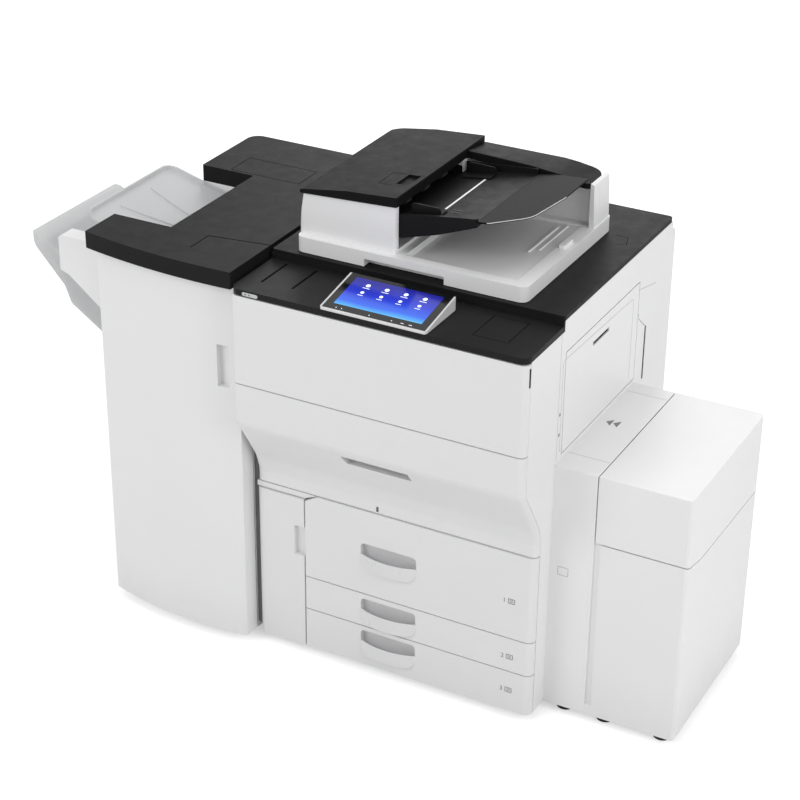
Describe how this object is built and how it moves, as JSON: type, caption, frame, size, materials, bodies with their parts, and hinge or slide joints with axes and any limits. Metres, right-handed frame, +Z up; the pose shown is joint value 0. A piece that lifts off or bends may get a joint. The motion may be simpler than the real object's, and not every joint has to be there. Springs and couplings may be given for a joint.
{
  "type": "photocopier",
  "caption": "Floor-standing colour photocopier with a hinged document feeder, tilting touch panel, paper trays, a side finisher with a rising output tray and a large paper unit.",
  "frame": {"origin": "centre of the footprint, on the floor under the levelling feet", "axes": "+X to the right seen from the front, +Y to the back, +Z up; the front faces -Y"},
  "size_m": [1.796, 0.852, 1.2219],
  "materials": {
    "frame_steel": "zinc-plated sheet steel",
    "white_covers": "fine-textured moulded ABS, warm white",
    "white_trays": "moulded ABS, white",
    "grip_grey": "smooth moulded ABS, light grey",
    "black_covers": "fine-textured moulded ABS, charcoal",
    "inner_black": "moulded ABS, black",
    "smoky_sheet": "smoky translucent moulded sheet",
    "pale_tray": "pale translucent moulded ABS",
    "platen_glass": "clear float glass",
    "screen_glass": "glossy touch panel",
    "tray_steel": "plain sheet steel",
    "roller_rubber": "matt rubber on a steel shaft",
    "white_pad": "soft white sheet",
    "toner_plastic": "moulded polypropylene",
    "foot_black": "nylon pad on a steel stem"
  },
  "bodies": {
    "chassis": {"main_frame": "frame_steel", "left_cover": "white_covers", "right_cover": "white_covers", "rear_cover": "white_covers", "power_inlet": "inner_black", "corner_tab": "white_covers", "shelf_cover": "black_covers", "scanner_housing": "black_covers", "platen_glass": "platen_glass", "toner_bottles": "toner_plastic", "drum_units": "roller_rubber", "transfer_belt_unit": "roller_rubber", "fuser_unit": "frame_steel", "main_feet": "foot_black", "panel_mount": "inner_black", "feeder_hinges": "frame_steel", "finisher_cabinet": "white_covers", "finisher_top": "black_covers", "tray_guard": "white_covers", "upper_tray": "pale_tray", "stapler_unit": "frame_steel", "finisher_feet": "foot_black", "bridge_cover": "inner_black", "coupling_unit": "white_covers", "paper_unit_cabinet": "white_covers", "paper_unit_feet": "foot_black"},
    "scan_carriage": {"scan_carriage": "inner_black"},
    "upper_front_cover": {"upper_front_cover": "white_covers"},
    "lower_front_cover": {"lower_front_cover": "white_covers"},
    "left_front_door": {"left_front_door": "white_covers"},
    "right_side_door": {"right_side_door": "white_covers"},
    "tray_1": {"tray_1_front": "white_trays", "tray_1_grip": "grip_grey", "tray_1_box": "tray_steel"},
    "tray_2": {"tray_2_front": "white_trays", "tray_2_grip": "grip_grey", "tray_2_box": "tray_steel"},
    "tray_3": {"tray_3_front": "white_trays", "tray_3_grip": "grip_grey", "tray_3_box": "tray_steel"},
    "tray_2_lift": {"tray_2_lift_plate": "tray_steel"},
    "tray_3_lift": {"tray_3_lift_plate": "tray_steel"},
    "panel": {"control_panel": "inner_black", "touch_screen": "screen_glass"},
    "feeder": {"feeder_base": "white_covers", "platen_pad": "white_pad", "feeder_tower": "white_covers", "feeder_ridge": "black_covers", "input_tray": "black_covers"},
    "feed_cover": {"feed_cover": "black_covers"},
    "tray_extension": {"tray_extension": "smoky_sheet"},
    "front_fence": {"front_fence": "black_covers"},
    "rear_fence": {"rear_fence": "black_covers"},
    "feed_rollers": {"feed_rollers": "roller_rubber"},
    "finisher_door": {"finisher_door": "white_covers"},
    "shift_tray": {"shift_tray": "pale_tray"},
    "upper_exit_roller": {"upper_exit_roller": "roller_rubber"},
    "lower_exit_roller": {"lower_exit_roller": "roller_rubber"},
    "paper_cap": {"paper_unit_cap": "white_covers"},
    "paper_lift": {"paper_lift": "tray_steel"}
  },
  "joints": [
    {"name": "scan_travel", "type": "slide", "parent": "chassis", "child": "scan_carriage", "axis": [1, 0, 0], "range_m": [0, 0.41]},
    {"name": "upper_cover_hinge", "type": "hinge", "parent": "chassis", "child": "upper_front_cover", "pos_m": [0.18796, -0.4185, 0.7805], "axis": [1, 0, 0], "range_deg": [0, 75]},
    {"name": "lower_cover_hinge", "type": "hinge", "parent": "chassis", "child": "lower_front_cover", "pos_m": [0.18796, -0.3225, 0.472], "axis": [1, 0, 0], "range_deg": [0, 64]},
    {"name": "left_door_hinge", "type": "hinge", "parent": "chassis", "child": "left_front_door", "pos_m": [-0.17704, -0.322, 0.235], "axis": [0, 0, -1], "range_deg": [0, 95]},
    {"name": "right_door_hinge", "type": "hinge", "parent": "chassis", "child": "right_side_door", "pos_m": [0.55696, -0.005, 0.695], "axis": [0, 1, 0], "range_deg": [0, 24]},
    {"name": "tray_1_slide", "type": "slide", "parent": "chassis", "child": "tray_1", "axis": [0, -1, 0], "range_m": [0, 0.45]},
    {"name": "tray_2_slide", "type": "slide", "parent": "chassis", "child": "tray_2", "axis": [0, -1, 0], "range_m": [0, 0.45]},
    {"name": "tray_3_slide", "type": "slide", "parent": "chassis", "child": "tray_3", "axis": [0, -1, 0], "range_m": [0, 0.45]},
    {"name": "tray_2_lift_hinge", "type": "hinge", "parent": "tray_2", "child": "tray_2_lift", "pos_m": [-0.01904, -0.028, 0.149], "axis": [0, -1, 0], "range_deg": [0, 6]},
    {"name": "tray_3_lift_hinge", "type": "hinge", "parent": "tray_3", "child": "tray_3_lift", "pos_m": [-0.01904, -0.028, 0.045], "axis": [0, -1, 0], "range_deg": [0, 6]},
    {"name": "panel_tilt", "type": "hinge", "parent": "chassis", "child": "panel", "pos_m": [0.18296, -0.424, 1.0215], "axis": [1, 0, 0], "range_deg": [0, 30]},
    {"name": "feeder_hinge", "type": "hinge", "parent": "chassis", "child": "feeder", "pos_m": [0.18796, 0.28, 1.062], "axis": [-1, 0, 0], "range_deg": [0, 70]},
    {"name": "feed_cover_hinge", "type": "hinge", "parent": "feeder", "child": "feed_cover", "pos_m": [-0.12604, 0.016, 1.1895], "axis": [0, -1, 0], "range_deg": [0, 70]},
    {"name": "extension_hinge", "type": "hinge", "parent": "feeder", "child": "tray_extension", "pos_m": [0.32146, -0.024, 1.1975], "axis": [0, -1, 0], "range_deg": [0, 95]},
    {"name": "front_fence_slide", "type": "slide", "parent": "feeder", "child": "front_fence", "axis": [0, 1, 0], "range_m": [0, 0.09]},
    {"name": "rear_fence_slide", "type": "slide", "parent": "feeder", "child": "rear_fence", "axis": [0, -1, 0], "range_m": [0, 0.09]},
    {"name": "feed_roller_spin", "type": "hinge", "parent": "feeder", "child": "feed_rollers", "pos_m": [0.09796, -0.024, 1.181], "axis": [0, 1, 0], "continuous": true},
    {"name": "finisher_door_hinge", "type": "hinge", "parent": "chassis", "child": "finisher_door", "pos_m": [-0.61004, -0.33, 0.5], "axis": [0, 0, -1], "range_deg": [0, 90]},
    {"name": "shift_tray_travel", "type": "slide", "parent": "chassis", "child": "shift_tray", "axis": [0, 0, -1], "range_m": [0, 0.48]},
    {"name": "lower_exit_spin", "type": "hinge", "parent": "chassis", "child": "lower_exit_roller", "pos_m": [-0.44904, -0.064, 0.752], "axis": [0, 1, 0], "continuous": true},
    {"name": "upper_exit_spin", "type": "hinge", "parent": "chassis", "child": "upper_exit_roller", "pos_m": [-0.44904, -0.064, 0.976], "axis": [0, 1, 0], "continuous": true},
    {"name": "paper_cap_hinge", "type": "hinge", "parent": "chassis", "child": "paper_cap", "pos_m": [0.67896, -0.024, 0.671], "axis": [0, -1, 0], "range_deg": [0, 80]},
    {"name": "paper_lift_travel", "type": "slide", "parent": "chassis", "child": "paper_lift", "axis": [0, 0, 1], "range_m": [0, 0.48]}
  ],
  "couplings": [
    {"joint": "rear_fence_slide", "follows": "front_fence_slide", "ratio": 1}
  ]
}
